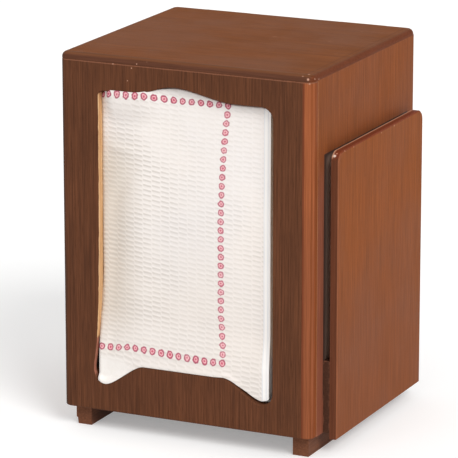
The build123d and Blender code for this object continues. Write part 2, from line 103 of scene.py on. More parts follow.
class Finish:
    """One material and its nodes."""

    def __init__(self, name):
        self.material = bpy.data.materials.new(name)
        self.material.use_nodes = True
        self.tree = self.material.node_tree
        self.shader = self.tree.nodes["Principled BSDF"]

    def fill(self, socket, value):
        if isinstance(value, bpy.types.NodeSocket):
            self.tree.links.new(value, socket)
        else:
            socket.default_value = value

    def add(self, kind, *values, output=0, **settings):
        node = self.tree.nodes.new(kind)
        for name, value in settings.items():
            setattr(node, name, value)
        for socket, value in zip(node.inputs, values):
            if value is not None:
                self.fill(socket, value)
        return node.outputs[output]

    def sum(self, operation, *values, clamp=False):
        return self.add("ShaderNodeMath", *values, operation=operation, use_clamp=clamp)

    def minus(self, first, second):
        return self.sum("SUBTRACT", first, second)

    def plus(self, *values):
        return reduce(lambda first, second: self.sum("ADD", first, second), values)

    def times(self, *values):
        return reduce(lambda first, second: self.sum("MULTIPLY", first, second), values)

    def parts(self, vector):
        """The three sockets X, Y and Z of a vector."""
        split = self.tree.nodes.new("ShaderNodeSeparateXYZ")
        self.fill(split.inputs[0], vector)
        return list(split.outputs)

    def place(self):
        """Where the point is, in millimetres: the three sockets X, Y and Z."""
        here = self.add("ShaderNodeTexCoord", output=3)
        self.point = self.add("ShaderNodeVectorMath", here, (1 / mm,) * 3, operation="MULTIPLY")
        return self.parts(self.point)

    def facing(self):
        """The three parts of the direction that the surface faces."""
        return self.parts(self.add("ShaderNodeTexCoord", output=1))

    def noise(self, scale, detail=2.0, roughness=0.5, shift=(0, 0, 0), at=None):
        """A cloudy pattern over the place, or over another vector.

        The scale is one number or three: a small one along the grain draws the pattern out along it.
        """
        scales = scale if isinstance(scale, (list, tuple)) else (scale,) * 3
        vector = self.add("ShaderNodeMapping", at or self.point, shift, (0, 0, 0), scales)
        node = self.tree.nodes.new("ShaderNodeTexNoise")
        self.fill(node.inputs["Vector"], vector)
        for name, value in (("Scale", 1.0), ("Detail", detail), ("Roughness", roughness)):
            self.fill(node.inputs[name], value)
        return node.outputs[0]

    def between(self, value, low, high, first=0.0, last=1.0):
        """Goes smoothly from first to last while value goes from low to high, or down to high."""
        node = self.tree.nodes.new("ShaderNodeMapRange")
        node.interpolation_type = "SMOOTHSTEP"
        for socket, number in zip(node.inputs, (value, low, high, first, last)):
            self.fill(socket, number)
        return node.outputs[0]

    def within(self, *ranges):
        """Where a point lies in every range: each says what between() takes."""
        return self.times(*[self.between(*each) for each in ranges])

    def blend(self, share, first, second, way="MIX"):
        node = self.tree.nodes.new("ShaderNodeMix")
        node.data_type = "RGBA"
        node.blend_type = way
        self.fill(node.inputs[0], share)
        self.fill(node.inputs[6], first)
        self.fill(node.inputs[7], second)
        return node.outputs[2]

    def coat(self, share, *colour):
        """Lays a colour over what is there, as far as the share says."""
        self.colour = self.blend(share, self.colour, paint(*colour))

    def bump(self, height, distance, strength):
        node = self.tree.nodes.new("ShaderNodeBump")
        node.inputs["Strength"].default_value = strength
        node.inputs["Distance"].default_value = distance
        self.fill(node.inputs["Height"], height)
        self.fill(self.shader.inputs["Normal"], node.outputs[0])

    def set(self, **values):
        """Sets the shader's own sockets: base_color stands for Base Color, and so on."""
        names = {socket.name.lower().replace(" ", "_"): socket for socket in self.shader.inputs}
        for name, value in values.items():
            self.fill(names[name], value)


def wear(finish, *pieces):
    """Gives pieces this finish alone."""
    for piece in pieces:
        piece.data.materials.clear()
        piece.data.materials.append(finish.material)


# %% [markdown]
# ## Floor, background and light
# The holder stands on a plain pale floor. The floor looks white to the camera and in
# reflections because of a little light of its own that only those rays see, so that the
# holder's shadow stays and no extra light falls on the wood. A sun with a wide angle is a
# soft studio lamp that lights near and far alike.

# %% Make the floor
floor_size = 8.0
pale = Finish("pale_floor")
pale.place()
mottle = pale.noise(0.01, 3.0)
rays = pale.tree.nodes.new("ShaderNodeLightPath")
reflected = pale.plus(rays.outputs["Is Glossy Ray"], rays.outputs["Is Transmission Ray"])
seen = pale.sum("ADD", rays.outputs["Is Camera Ray"], reflected, clamp=True)
pale.set(
    base_color=pale.blend(mottle, (0.78, 0.78, 0.775, 1), (0.82, 0.82, 0.815, 1)),
    roughness=0.9,
    specular_ior_level=0.1,
    emission_color=(1, 1, 1, 1),
    emission_strength=pale.times(seen, 0.3),
)
bpy.ops.mesh.primitive_grid_add(x_subdivisions=8, y_subdivisions=8, size=floor_size)
floor = bpy.context.object
floor.name = "floor"
wear(pale, floor)

# %% Light it
world = bpy.data.worlds.new("studio")
bpy.context.scene.world = world
world.use_nodes = True
sky = world.node_tree.nodes["Background"]
sky_path = world.node_tree.nodes.new("ShaderNodeLightPath")
sky_strength = world.node_tree.nodes.new("ShaderNodeMapRange")
world.node_tree.links.new(sky_path.outputs["Is Camera Ray"], sky_strength.inputs[0])
sky_strength.inputs[3].default_value = 0.62
sky_strength.inputs[4].default_value = 1.0
world.node_tree.links.new(sky_strength.outputs[0], sky.inputs["Strength"])
sky.inputs["Color"].default_value = (1, 1, 1, 1)


def lamp(name, towards, strength, spread, colour=(1, 1, 1)):
    """A sun that shines along the line from towards to the holder."""
    bpy.ops.object.light_add(type="SUN")
    light = bpy.context.object
    light.name = name
    light.rotation_mode = "QUATERNION"
    light.rotation_quaternion = Vector(towards).to_track_quat("Z", "Y")
    light.data.energy = strength
    light.data.angle = math.radians(spread)
    light.data.color = colour


lamp("key_lamp", (0.62, -0.46, 0.6), 1.85, 28)
lamp("fill_lamp", (-0.2, -0.9, 0.35), 0.4, 50)
bpy.context.scene.view_settings.view_transform = "Standard"

# %% [markdown]
# ## Stained wood
# The case is plywood with a fine straight veneer, stained walnut brown and finished with a
# satin varnish. The stain lies in layers: fine streaks along the grain carry most of it, over
# faint bands and a soft blotch, with short dark pores on top. Along every edge handling has
# rubbed it lighter in places. An edge of a board is where it is close to two faces of its box
# at once, so the second smallest of the three distances to the faces finds every edge.

# %% Helpers for boards
AXES = {"x": 0, "y": 1, "z": 2}


def box_mm(node):
    """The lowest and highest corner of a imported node, in millimetres."""
    low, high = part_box(node)
    return [v / mm for v in low], [v / mm for v in high]


def edge_distance(finish, place, node):
    """How far a point on a board is from the board's nearest edge."""
    low, high = box_mm(node)
    x, y, z = [
        finish.sum("MINIMUM", finish.minus(here, a), finish.minus(b, here))
        for here, a, b in zip(place, low, high)
    ]
    smaller = finish.sum("MINIMUM", x, y)
    larger = finish.sum("MAXIMUM", x, y)
    return finish.sum("MAXIMUM", smaller, finish.sum("MINIMUM", larger, z))


def along_grain(grain, across, along):
    """Scales of a pattern that is drawn out along the grain's axis."""
    return [along if axis == AXES[grain] else across for axis in range(3)]


def bare_wood(finish, grain, ply_axis=None, ply_start=0.0, ply_pitch=1.5):
    """Sanded plywood with no stain, and its plies where a cut shows them."""
    streaks = finish.noise(along_grain(grain, 1.6, 0.06), 3.0, 0.6, (3, 7, 11))
    clouds = finish.noise(0.05)
    tone = finish.between(streaks, 0.3, 0.7)
    colour = finish.blend(tone, paint(198, 154, 108), paint(232, 194, 148))
    colour = finish.blend(finish.times(clouds, 0.35), colour, paint(210, 164, 118))
    if ply_axis is not None:
        depth = finish.sum("DIVIDE", finish.minus(ply_axis, ply_start), ply_pitch)
        ply = finish.sum("PINGPONG", depth, 1.0)
        colour = finish.blend(finish.between(ply, 0.35, 0.65, 0.0, 0.4), colour, paint(188, 128, 78))
    return colour, streaks


# %% A function for stained boards
# how fine the pattern is across the grain and along it, and its share of the tone
stain_layers = ((2.6, 0.07, 0.4), (1.1, 0.02, 0.3), (0.2, 0.006, 0.1), (0.03, 0.03, 0.2))


def stain(node, grain, light, dark, bare=None, tints=(), rub=0.4):
    """Gives a board stained and varnished veneer, between a light and a dark brown.

    bare(finish, place) says where the wood is left unstained. Each of the tints is a colour
    and a function (finish, place) that says where it lies over the stain: some are stain and
    chips in the varnish, others painted shade and painted highlights.
    """
    finish = Finish(f"stained_{node}")
    place = finish.place()
    low = box_mm(node)[0]
    shift = (low[0] * 0.37, low[1] * 0.73, low[2] * 0.11)
    layers = []
    for across, along, share in stain_layers:
        cloud = finish.noise(along_grain(grain, across, along), 2.0, 0.6, shift)
        layers.append(finish.times(finish.between(cloud, 0.3, 0.7), share))
    finish.colour = finish.blend(finish.plus(*layers), paint(*dark), paint(*light))
    pores = finish.noise(along_grain(grain, 4.2, 0.22), 1.0, 0.5, shift)
    finish.coat(finish.between(pores, 0.62, 0.74, 0.0, 0.3), 44, 24, 15)
    rubbed = finish.noise(0.45, 3.0, 0.7, shift)
    near_edge = finish.between(edge_distance(finish, place, node), 0.6, 0.1)
    finish.coat(finish.times(near_edge, finish.between(rubbed, 0.46, 0.66, 0.0, rub)), 156, 100, 78)
    for tint, where in tints:
        finish.coat(where(finish, place), *tint)
    fine = finish.noise(along_grain(grain, 2.0, 0.045), 2.0, 0.65, shift)
    streaked = finish.between(fine, 0.3, 0.7, 0.84, 1.12)
    finish.colour = finish.blend(1.0, finish.colour, streaked, "MULTIPLY")
    if bare is not None:
        mask, *plies = bare(finish, place)
        finish.colour = finish.blend(mask, finish.colour, bare_wood(finish, grain, *plies)[0])
    finish.bump(finish.minus(layers[0], finish.between(pores, 0.62, 0.72, 0.0, 0.4)), 0.0001, 0.5)
    finish.set(
        base_color=finish.colour,
        roughness=finish.between(cloud, 0.3, 0.7, 0.4, 0.52),
        specular_ior_level=0.03,
    )
    wear(finish, nodes[node])


# %% Places on a board
def face_mask(axis, sign, node):
    """Where a board shows the face on that side of its box, as a function for stain()."""
    number = AXES[axis]
    low, high = box_mm(node)

    def mask(finish, place):
        if sign > 0:
            gap = finish.minus(high[number], place[number])
        else:
            gap = finish.minus(place[number], low[number])
        turned = finish.between(finish.times(finish.facing()[number], sign), 0.6, 0.9)
        return (finish.times(finish.between(gap, 0.2, 0.02), turned),)

    return mask


def turned_to(axis, start, end, strength=1.0):
    """Where a surface faces along an axis: none of the tint at start, all of it at end."""

    def mask(finish, place):
        return finish.between(finish.facing()[AXES[axis]], start, end, 0.0, strength)

    return mask


def strip(axis, start, end, strength=1.0, ragged=0.0, soft=0.2):
    """A strip across an axis, between two places in millimetres, with soft and ragged sides."""

    def mask(finish, place):
        here = place[AXES[axis]]
        if ragged:
            wander = finish.noise(0.12, 4.0, 0.7)
            here = finish.plus(here, finish.times(finish.minus(wander, 0.5), ragged))
        inside = finish.within((here, start - soft, start + soft), (here, end + soft, end - soft))
        return finish.times(inside, strength)

    return mask


def overlap(*masks):
    """Where all these masks lie on each other."""

    def mask(finish, place):
        return finish.times(*[part(finish, place) for part in masks])

    return mask


def chips_and_glints(*spots):
    """Small chips in the varnish and painted glints on corners: each is x, y, z and a radius in
    millimetres.
    """

    def mask(finish, place):
        all_spots = 0.0
        wander = finish.noise(1.3)
        for x, y, z, radius in spots:
            middle = (x, y, z)
            gap = finish.add(
                "ShaderNodeVectorMath", finish.point, middle, operation="DISTANCE", output=1
            )
            gap = finish.plus(gap, finish.times(wander, radius))
            one_spot = finish.between(gap, radius * 0.7, radius * 1.5, 0.9, 0.0)
            all_spots = finish.sum("MAXIMUM", all_spots, one_spot)
        return all_spots

    return mask


# %% [markdown]
# ## The boards, one by one
# Each board takes its own pair of browns: partly its own stain, partly painted shade and
# light, as the front panel, which is turned from the lamp, is painted darker than the walls.
# The insides stay bare. The window was cut after staining, and its upright cut edge shows the
# light plies of the wood; low down its front was stained again, and behind that the cut is
# painted near black, painted shade for the gap beside the napkin. The front panel's side edge
# took a more orange stain than its face, and a painted highlight brightens it where it turns
# to the lamp. Each tint is a thin coat over part of a board: stain, chips in the varnish,
# painted shade where a surface turns away from the lamp, and painted highlights and glints on
# edges and corners that face it. Places are in millimetres.

# %% Front panel with the window's bare cut edge
panel_low_mm, panel_high_mm = box_mm("front_panel")
front_face, panel_back = panel_low_mm[1], panel_high_mm[1]
panel_ply = 1.5
border = 7.0
restained_below = 35.75
restained_front = strip("y", -60.0, front_face + 2.0, soft=0.3)
behind_cut_front = strip("y", front_face + 2.0, 0.0, soft=0.3)


def cut_side(finish, place):
    """Where the panel's surface is upright and faces sideways, behind its eased front edge."""
    _, y, z = finish.facing()
    ragged = finish.noise((0.9, 0.9, 0.25), 3.0)
    depth = finish.plus(place[1], finish.times(ragged, 0.5))
    return finish.within(
        (finish.sum("ABSOLUTE", y), 0.9, 0.5),
        (finish.sum("ABSOLUTE", z), 0.6, 0.25),
        (depth, front_face + 0.35, front_face + 0.6),
    )


upright_cut = overlap(
    cut_side,
    strip("x", panel_low_mm[0] + border, panel_high_mm[0] - border, soft=1.0),
    strip("z", panel_low_mm[2] + border, panel_high_mm[2] - border, soft=1.0),
)


def window_cut(finish, place):
    """Where the panel is bare: the window's cut above the restained part, and its back."""
    cut = overlap(upright_cut, strip("z", restained_below, 150.0, soft=0.75))(finish, place)
    back = strip("y", panel_back - 0.11, 0.0, soft=0.09)(finish, place)
    return finish.sum("MAXIMUM", cut, back), place[1], front_face, panel_ply


# low down, the front of the cut took a thin coat of stain; behind it the cut is painted near
# black, painted shade for the dark gap between the panel and the napkin
restained_cut = overlap(upright_cut, strip("z", 0.0, restained_below, soft=0.75), restained_front)
painted_gap_shade = overlap(
    upright_cut,
    strip("z", 0.0, restained_below - 1.25, soft=0.5),
    strip("z", 22.5, 150.0, soft=1.5),
    behind_cut_front,
)
# the rounded right edge of the front panel, where a more orange stain is brightened with a painted
# highlight
arris = (strip("x", 44.0, 48.0), strip("y", -52.0, -46.7))
panel_side = strip("x", 45.0, 48.0)
# the front panel's browns are darker than the walls', partly painted shade for a face turned from the
# lamp
stain(
    "front_panel", "z", (109, 67, 45), (77, 48, 34), window_cut, rub=0.25,
    tints=(
        # painted shade on the surfaces that face left, away from the lamp
        ((58, 36, 28), turned_to("x", -0.25, -0.95, 0.8)),
        # a painted highlight along the rounded right edge, over a more orange stain, brightest near
        # the top
        ((118, 62, 40), strip("x", 43.3, 48.0)),
        ((138, 79, 51), overlap(*arris)),
        ((155, 88, 54), overlap(*arris, strip("z", 84.0, 150.0, 0.8, 9.0, 18.0))),
        ((120, 62, 32), overlap(panel_side, strip("y", -48.0, -47.55, 0.6, 0.3, 0.1))),
        ((132, 70, 38), overlap(panel_side, strip("y", -46.7, -44.0))),
        ((136, 90, 68), strip("z", 138.3, 139.4, 0.8, 0.4, 0.1)),
        ((160, 104, 84), restained_cut),
        # painted shade: the cut behind its front, near black
        ((14, 9, 7), painted_gap_shade),
        # chips in the varnish, with a painted glint at the top right corner
        (
            (206, 160, 136),
            chips_and_glints(
                (-31.1, -48.6, 138.5, 0.35), (-25.3, -48.7, 132.9, 0.3), (-38.6, -48.7, 20.6, 0.35),
                (-23.6, -48.7, 137.6, 0.4), (31.6, -48.6, 40.3, 0.35), (45.6, -48.2, 138.2, 0.5),
            ),
        ),
    ),
)

# %% Walls, base, runners and the card pocket
# the wall inside the card pocket: painted shade at its slot, and painted light further in
painted_slot_shade = overlap(strip("y", -38.7, 38.0), strip("z", 20.0, 111.0))
painted_pocket_light = overlap(strip("y", -35.6, 20.0, 1.0, 0.0, 2.3), strip("z", 20.0, 109.0, 1.0, 0.0, 2.0))
right_tints = (
    ((78, 40, 28), turned_to("y", 0.4, 0.9, 0.6)),
    # paler and greyer low on the wall, painted light against the shade beside the pocket
    ((138, 84, 70), strip("z", -60.0, 106.0, 0.6, 9.0, 14.0)),
    # painted shade in the pocket's slot
    ((67, 50, 44), painted_slot_shade),
    # painted light deeper in the pocket
    ((215, 178, 156), painted_pocket_light),
)
for node, grain, light, dark, bare_axis, bare_sign, tints in (
    ("left_wall", "z", (146, 82, 43), (117, 62, 30), "x", 1, ()),
    ("right_wall", "z", (146, 82, 43), (117, 62, 30), "x", -1, right_tints),
    ("rear_wall", "z", (132, 76, 42), (108, 60, 34), "y", -1, ()),
    ("base_board", "x", (108, 62, 36), (86, 48, 28), "z", 1, ()),
):
    stain(node, grain, light, dark, face_mask(bare_axis, bare_sign, node), tints)
for node in ("left_runner", "right_runner"):
    stain(node, "y", (128, 82, 59), (102, 65, 48))
stain("card_pocket_spacer", "y", (88, 58, 44), (70, 46, 36))
stain(
    "card_plate", "z", (150, 84, 42), (122, 64, 28),
    tints=(
        ((126, 74, 48), overlap(turned_to("x", 0.6, 0.9), strip("z", -60.0, 60.0, 0.6, 12.0, 25.0))),
        # the front edge darker: partly a darker edge stain, partly painted shade
        ((98, 58, 42), overlap(turned_to("y", -0.35, -0.8, 0.9), turned_to("x", 0.9, 0.6))),
        # painted shade on the plate's rounded top
        ((120, 58, 38), turned_to("z", 0.2, 0.7, 0.9)),
        # painted highlight along the top edge next to the wall
        ((190, 140, 112), overlap(turned_to("z", 0.3, 0.6), strip("x", 49.6, 50.3, 0.9))),
        # painted highlight on the rounded corner between the front edge and the face
        ((158, 100, 72), overlap(turned_to("y", -0.2, -0.5, 0.8), turned_to("x", 0.6, 0.8))),
        (
            (214, 160, 132),
            chips_and_glints(
                (52.7, -25.2, 111.4, 0.35), (52.7, 0.2, 111.2, 0.4), (52.7, 12.2, 111.3, 0.35),
                (52.7, -33.0, 111.6, 0.3), (51.2, -36.6, 111.3, 0.4),
            ),
        ),
        # a painted glint on the front top corner
        ((250, 226, 208), chips_and_glints((50.7, -37.4, 110.5, 0.75))),
    ),
)

# %% Lid, darker round its rounded edge: partly edge stain, partly painted shade
scuffs = chips_and_glints((6.8, 7.7, 141.2, 1.2), (10.2, 8.6, 141.2, 0.8), (28.4, 8.8, 141.2, 1.0))
stain(
    "top_lid", "x", (130, 72, 30), (112, 60, 22), face_mask("z", -1, "top_lid"), rub=0.2,
    tints=(
        ((104, 70, 50), strip("y", -60.0, -46.4, 0.8, 0.3, 1.0)),
        # the right edge is painted lighter and redder than the front edge, partly painted light from
        # the lamp on that side
        ((112, 64, 34), strip("x", 45.2, 60.0, 0.7, 0.3, 0.6)),
        ((96, 54, 28), strip("x", 43.7, 44.3, 0.6, 0.3, 0.15)),
        # the rounding darkens as it turns from the top: partly a darker edge stain, partly painted
        # shade
        ((112, 70, 46), turned_to("z", 0.999, 0.97)),
        ((90, 56, 42), turned_to("z", 0.95, 0.45, 0.9)),
        # painted light on the rounding that faces right, toward the lamp
        ((106, 56, 34), turned_to("x", 0.2, 0.7, 0.95)),
        ((176, 128, 98), overlap(scuffs, strip("z", 130.0, 150.0, 0.25))),
        # chips in the varnish, with painted glints round the front right corner
        (
            (206, 160, 136),
            chips_and_glints(
                (-17.6, -48.6, 140.5, 0.35), (44.6, -46.4, 141.1, 0.6), (46.4, -47.9, 140.6, 0.6),
                (47.2, -46.8, 139.9, 0.5), (-21.5, -48.7, 139.3, 0.3), (43.0, -48.3, 140.9, 0.5),
                (45.2, -48.6, 139.8, 0.6), (47.2, -43.8, 139.2, 0.45), (32.0, 30.0, 141.2, 0.35),
            ),
        ),
    ),
)
print("stained materials", [m.name for m in bpy.data.materials if m.name.startswith("stained")])

# %% [markdown]
# ## The pusher
# Nobody sees the pusher until the lid is up, so its plywood was sanded and left bare. Its cut
# edges show the plies, and its outer edges are a little grubby.

# %% Bare plywood for the pusher
def sand(node, grain):
    """Gives a board sanded plywood: plain on its faces, with its plies where it was cut."""
    finish = Finish(f"bare_{node}")
    place = finish.place()
    edges = finish.between(edge_distance(finish, place, node), 0.5, 0.05)
    plies, streaks = bare_wood(finish, grain, place[1], box_mm(node)[0][1], 1.0)
    cut = finish.between(finish.sum("ABSOLUTE", finish.facing()[1]), 0.8, 0.3)
    finish.colour = finish.blend(cut, bare_wood(finish, grain)[0], plies)
    finish.coat(finish.times(edges, 0.25), 150, 110, 72)
    finish.bump(streaks, 0.00008, 0.5)
    finish.set(
        base_color=finish.colour,
        roughness=finish.between(streaks, 0.3, 0.7, 0.6, 0.75),
        specular_ior_level=0.3,
    )
    wear(finish, nodes[node])


sand("pusher_plate", "z")
sand("pusher_foot", "x")

# %% [markdown]
# ## Metal
# The hinges are rolled brass that has dulled, the spring and staples are drawn steel wire,
# and the screws under the case are zinc plated. A metal's look is in its roughness: fine
# scratches and cloudy spots where fingers were.

# %% Metal finishes
def metal(name, bright, dull, roughness):
    finish = Finish(name)
    finish.place()
    scratches = finish.noise((6.0, 0.4, 6.0))
    clouds = finish.noise(0.35, 3.0)
    tarnish = finish.between(clouds, 0.4, 0.65)
    finish.bump(scratches, 0.00001, 0.4)
    finish.set(
        base_color=finish.blend(tarnish, paint(*bright), paint(*dull)),
        metallic=1.0,
        roughness=finish.plus(finish.times(tarnish, 0.15), roughness),
    )
    return finish


brass = metal("dulled_brass", (214, 176, 104), (166, 128, 72), 0.28)
steel = metal("drawn_steel", (190, 190, 192), (146, 144, 142), 0.25)
zinc = metal("zinc_plate", (200, 202, 204), (158, 158, 160), 0.32)
for side in ("left", "right"):
    wear(brass, *[nodes[f"{side}_hinge_{part}"] for part in ("fixed_leaf", "lid_leaf", "pin")])
wear(zinc, nodes["pusher_staples"], nodes["rear_staples"])

# %% [markdown]
# ## Screws with a cross recess
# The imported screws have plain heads. A real one has a cross recess for the driver, so each is
# modelled here once as a countersunk screw and copied to every place that its node holds. The
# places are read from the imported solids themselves: each loose solid is one screw.

# %% Find the separate solids of a node
def solids_of(node):
    """The box of each separate solid in a node: (lowest corner, highest corner)."""
    shape = bmesh.new()
    shape.from_mesh(nodes[node].data)
    bmesh.ops.remove_doubles(shape, verts=shape.verts, dist=0.001 * mm)
    left = set(shape.verts)
    boxes = []
    while left:
        reached = [left.pop()]
        island = list(reached)
        while reached:
            for edge in reached.pop().link_edges:
                for corner in edge.verts:
                    if corner in left:
                        left.remove(corner)
                        reached.append(corner)
                        island.append(corner)
        places = np.array([corner.co for corner in island])
        boxes.append((Vector(places.min(0)), Vector(places.max(0))))
    shape.free()
    return sorted(boxes, key=lambda box: (round(box[0].x, 4), round(box[0].y, 4)))


def only(piece):
    """Makes one piece the selected, active one."""
    bpy.ops.object.select_all(action="DESELECT")
    piece.select_set(True)
    bpy.context.view_layer.objects.active = piece


def cut_away(piece, cutter):
    """Cuts one solid out of another, and deletes the cutter."""
    only(piece)
    cut = piece.modifiers.new("cut", "BOOLEAN")
    cut.operation = "DIFFERENCE"
    cut.solver = "EXACT"
    cut.object = cutter
    bpy.ops.object.modifier_apply(modifier="cut")
    bpy.data.objects.remove(cutter)


def copied(model):
    """A copy of a piece, with a mesh of its own."""
    copy = model.copy()
    copy.data = model.data.copy()
    bpy.context.scene.collection.objects.link(copy)
    return copy


def joined(copies, name):
    """Joins pieces into one, under a name of its own."""
    only(copies[0])
    for copy in copies:
        copy.select_set(True)
    bpy.ops.object.join()
    piece = bpy.context.object
    piece.name = name
    return piece


# %% Model one screw
def screw(name, head_radius, shank_radius, length):
    """A countersunk screw that stands on its tip, with the top of its head at the origin."""
    head = head_radius - shank_radius
    bpy.ops.mesh.primitive_cone_add(
        vertices=32, radius1=shank_radius, radius2=head_radius, depth=head, location=(0, 0, -head / 2)
    )
    piece = bpy.context.object
    piece.name = name
    bpy.ops.object.mode_set(mode="EDIT")
    bpy.ops.mesh.select_all(action="DESELECT")
    shape = bmesh.from_edit_mesh(piece.data)
    for face in shape.faces:
        face.select_set(face.normal.z < -0.9)
    bmesh.update_edit_mesh(piece.data)
    for share in (0.8, 0.2):
        drop = (0, 0, (head - length) * share)
        bpy.ops.mesh.extrude_region_move(TRANSFORM_OT_translate={"value": drop})
    bpy.ops.transform.resize(value=(0.15, 0.15, 1), center_override=(0, 0, -length))
    bpy.ops.object.mode_set(mode="OBJECT")
    only(piece)
    bpy.ops.object.transform_apply(location=True, rotation=True, scale=True)
    slot_length, slot_width, slot_depth = head_radius * 1.25, head_radius * 0.26, head_radius * 0.55
    for turned in (0, math.pi / 2):
        bpy.ops.mesh.primitive_cube_add(size=1)
        cutter = bpy.context.object
        cutter.scale = (slot_length, slot_width, slot_depth * 2)
        cutter.rotation_euler.z = turned
        cut_away(piece, cutter)
    only(piece)
    bevel = piece.modifiers.new("soft_rim", "BEVEL")
    bevel.width = head_radius * 0.04
    bevel.segments = 2
    bevel.limit_method = "ANGLE"
    bpy.ops.object.modifier_apply(modifier="soft_rim")
    bpy.ops.object.shade_smooth_by_angle(angle=math.radians(35))
    return piece


# %% Copy it to every place
shank_share = 0.53


def set_screws(node, body, finish, head_up):
    """Fills a node's places with screws whose heads look up or down, joined as one piece."""
    boxes = solids_of(node)
    low, high = boxes[0]
    head_radius = (high.x - low.x) / 2
    model = screw("screw_model", head_radius, head_radius * shank_share, high.z - low.z)
    copies = []
    for number, (low, high) in enumerate(boxes):
        copy = copied(model)
        middle = (low + high) / 2
        turned = Matrix.Rotation(0.4 + 1.3 * number, 4, "Z")
        if not head_up:
            turned = Matrix.Rotation(math.pi, 4, "X") @ turned
        top = high.z if head_up else low.z
        copy.data.transform(Matrix.Translation((middle.x, middle.y, top)) @ turned)
        copies.append(copy)
    bpy.data.objects.remove(model)
    piece = joined(copies, f"{node}_with_recess")
    wear(finish, piece)
    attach(piece, body)
    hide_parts(node)
    print(piece.name, "screws", len(boxes), "faces", len(piece.data.polygons))


set_screws("runner_screws", "case", zinc, head_up=False)
set_screws("hinge_wall_screws", "case", brass, head_up=True)
set_screws("hinge_lid_screws", "lid", brass, head_up=False)

# %% [markdown]
# ## The spring
# A tapered spring is a spiral that widens and rises at once, and both its end coils lie flat.
# A curve with one point every few degrees carries a round bevel, and is then made a mesh. The
# pusher moves and the rear wall doesn't, so the spring would have to stretch between them. Each
# point of the tube is given a share of that motion from the middle of the wire beside it, which
# would keep the wire round however far it is stretched; nothing in this script applies the shares.

# %% Wind the spring
spring_low, spring_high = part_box("pusher_spring")
pusher_low, pusher_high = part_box("pusher_plate")
wire_radius = 0.6 * mm
coil_front_radius = 10 * mm
coil_rear_radius = 24 * mm
coil_turns = 5.5
seat_turns = 0.7
coil_front = spring_low.y + wire_radius
coil_rear = spring_high.y - wire_radius
coil_x = (pusher_low.x + pusher_high.x) / 2
points_per_turn = 40
checks_per_turn = 200


def smooth(value, low, high):
    """Goes smoothly from 0 to 1 while value goes from low to high, or down to high."""
    share = np.clip((value - low) / (high - low), 0, 1)
    return share * share * (3 - 2 * share)


def on_coil(turned):
    """A point of the wire's middle line, with the coil's axis at x = z = 0 and flat end coils."""
    angle = 2 * math.pi * turned
    radius = coil_front_radius + (coil_rear_radius - coil_front_radius) * turned / coil_turns
    depth = coil_front + (coil_rear - coil_front) * smooth(turned, seat_turns, coil_turns - seat_turns)
    return Vector((radius * math.cos(angle), depth, radius * math.sin(angle)))


coil_top = max(on_coil(n / checks_per_turn).z for n in range(round(checks_per_turn * coil_turns) + 1))
coil_z = spring_high.z - wire_radius - coil_top
coil_middle = Vector((coil_x, 0, coil_z))
wire_line = [
    coil_middle + on_coil(n / points_per_turn) for n in range(round(points_per_turn * coil_turns) + 1)
]
bpy.ops.curve.primitive_nurbs_path_add()
spring = bpy.context.object
spring.name = "tapered_spring"
spring.matrix_world = Matrix.Identity(4)
spring.data.splines.clear()
spline = spring.data.splines.new("NURBS")
spline.points.add(len(wire_line) - 1)
for point, place in zip(spline.points, wire_line):
    point.co = (*place, 1)
spline.order_u = 3
spline.use_endpoint_u = True
spring.data.bevel_depth = wire_radius
spring.data.bevel_resolution = 3
spring.data.resolution_u = 2
spring.data.render_resolution_u = 0
spring.data.use_fill_caps = True
only(spring)
bpy.ops.object.convert(target="MESH")
bpy.ops.object.shade_smooth_by_angle(angle=math.radians(50))
wear(steel, spring)
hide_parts("pusher_spring")
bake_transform(spring)
middle_of_wire = KDTree(len(wire_line))
for number, place in enumerate(wire_line):
    middle_of_wire.insert(place, number)
middle_of_wire.balance()
shares = [
    (wire_line[middle_of_wire.find(corner.co)[1]].y - coil_front) / (coil_rear - coil_front)
    for corner in spring.data.vertices
]
spring_size = [round(v / mm, 1) for v in spring.dimensions]
print("spring corners", len(spring.data.vertices), "box", spring_size)

# %% [markdown]
# ## The shape of a napkin
# A napkin is one sheet of embossed tissue. It is folded in half at the bottom and then in
# thirds like a letter Z, so six plies lie on each other. The front third is the short one: its
# free edge stands just inside the window. The stack presses the napkins into the window, where
# they bulge out as far as its front, and roll over the sill and the left of the top. Where the
# window's edges run is read from the panel itself.

# %% Measure the napkins
napkin_low, napkin_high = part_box("front_napkin")
stack_low, stack_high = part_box("napkin_stack")
panel_low, panel_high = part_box("front_panel")
fold_width = napkin_high.x - napkin_low.x
fold_height = napkin_high.z - napkin_low.z
case_x = (panel_low.x + panel_high.x) / 2
free_edge = case_x + 32.6 * mm
flap_width = free_edge - napkin_low.x
sheet_width = 2 * fold_width + flap_width
sheet_height = 2 * fold_height
window_half = 34.5 * mm
creases = (
    # x and z of the middle, turned by degrees, half length, half width, depth, in millimetres
    (-27, 92, 62, 16, 3.0, -0.55),
    (-30, 66, 85, 20, 3.2, -0.50),
    (-29, 107, -8, 9, 1.6, 0.45),
    (24, 34, 50, 9, 1.6, -0.40),
    (27, 29, 35, 7, 1.2, 0.35),
    (8, 80, 95, 30, 9.0, 0.25),
    (-27, 27, 24, 6, 3.4, 0.70),
    (-31, 33, 70, 6, 1.6, -0.45),
    (19, 100, 80, 18, 6.0, 0.25),
)

# %% Read the window's edges from the panel
least_frame = 11.0
sill_reach = (-36.3, 34.2)
sill_limit = 29.0
top_limits = (122.0, 134.0)
side_limit = -33.4

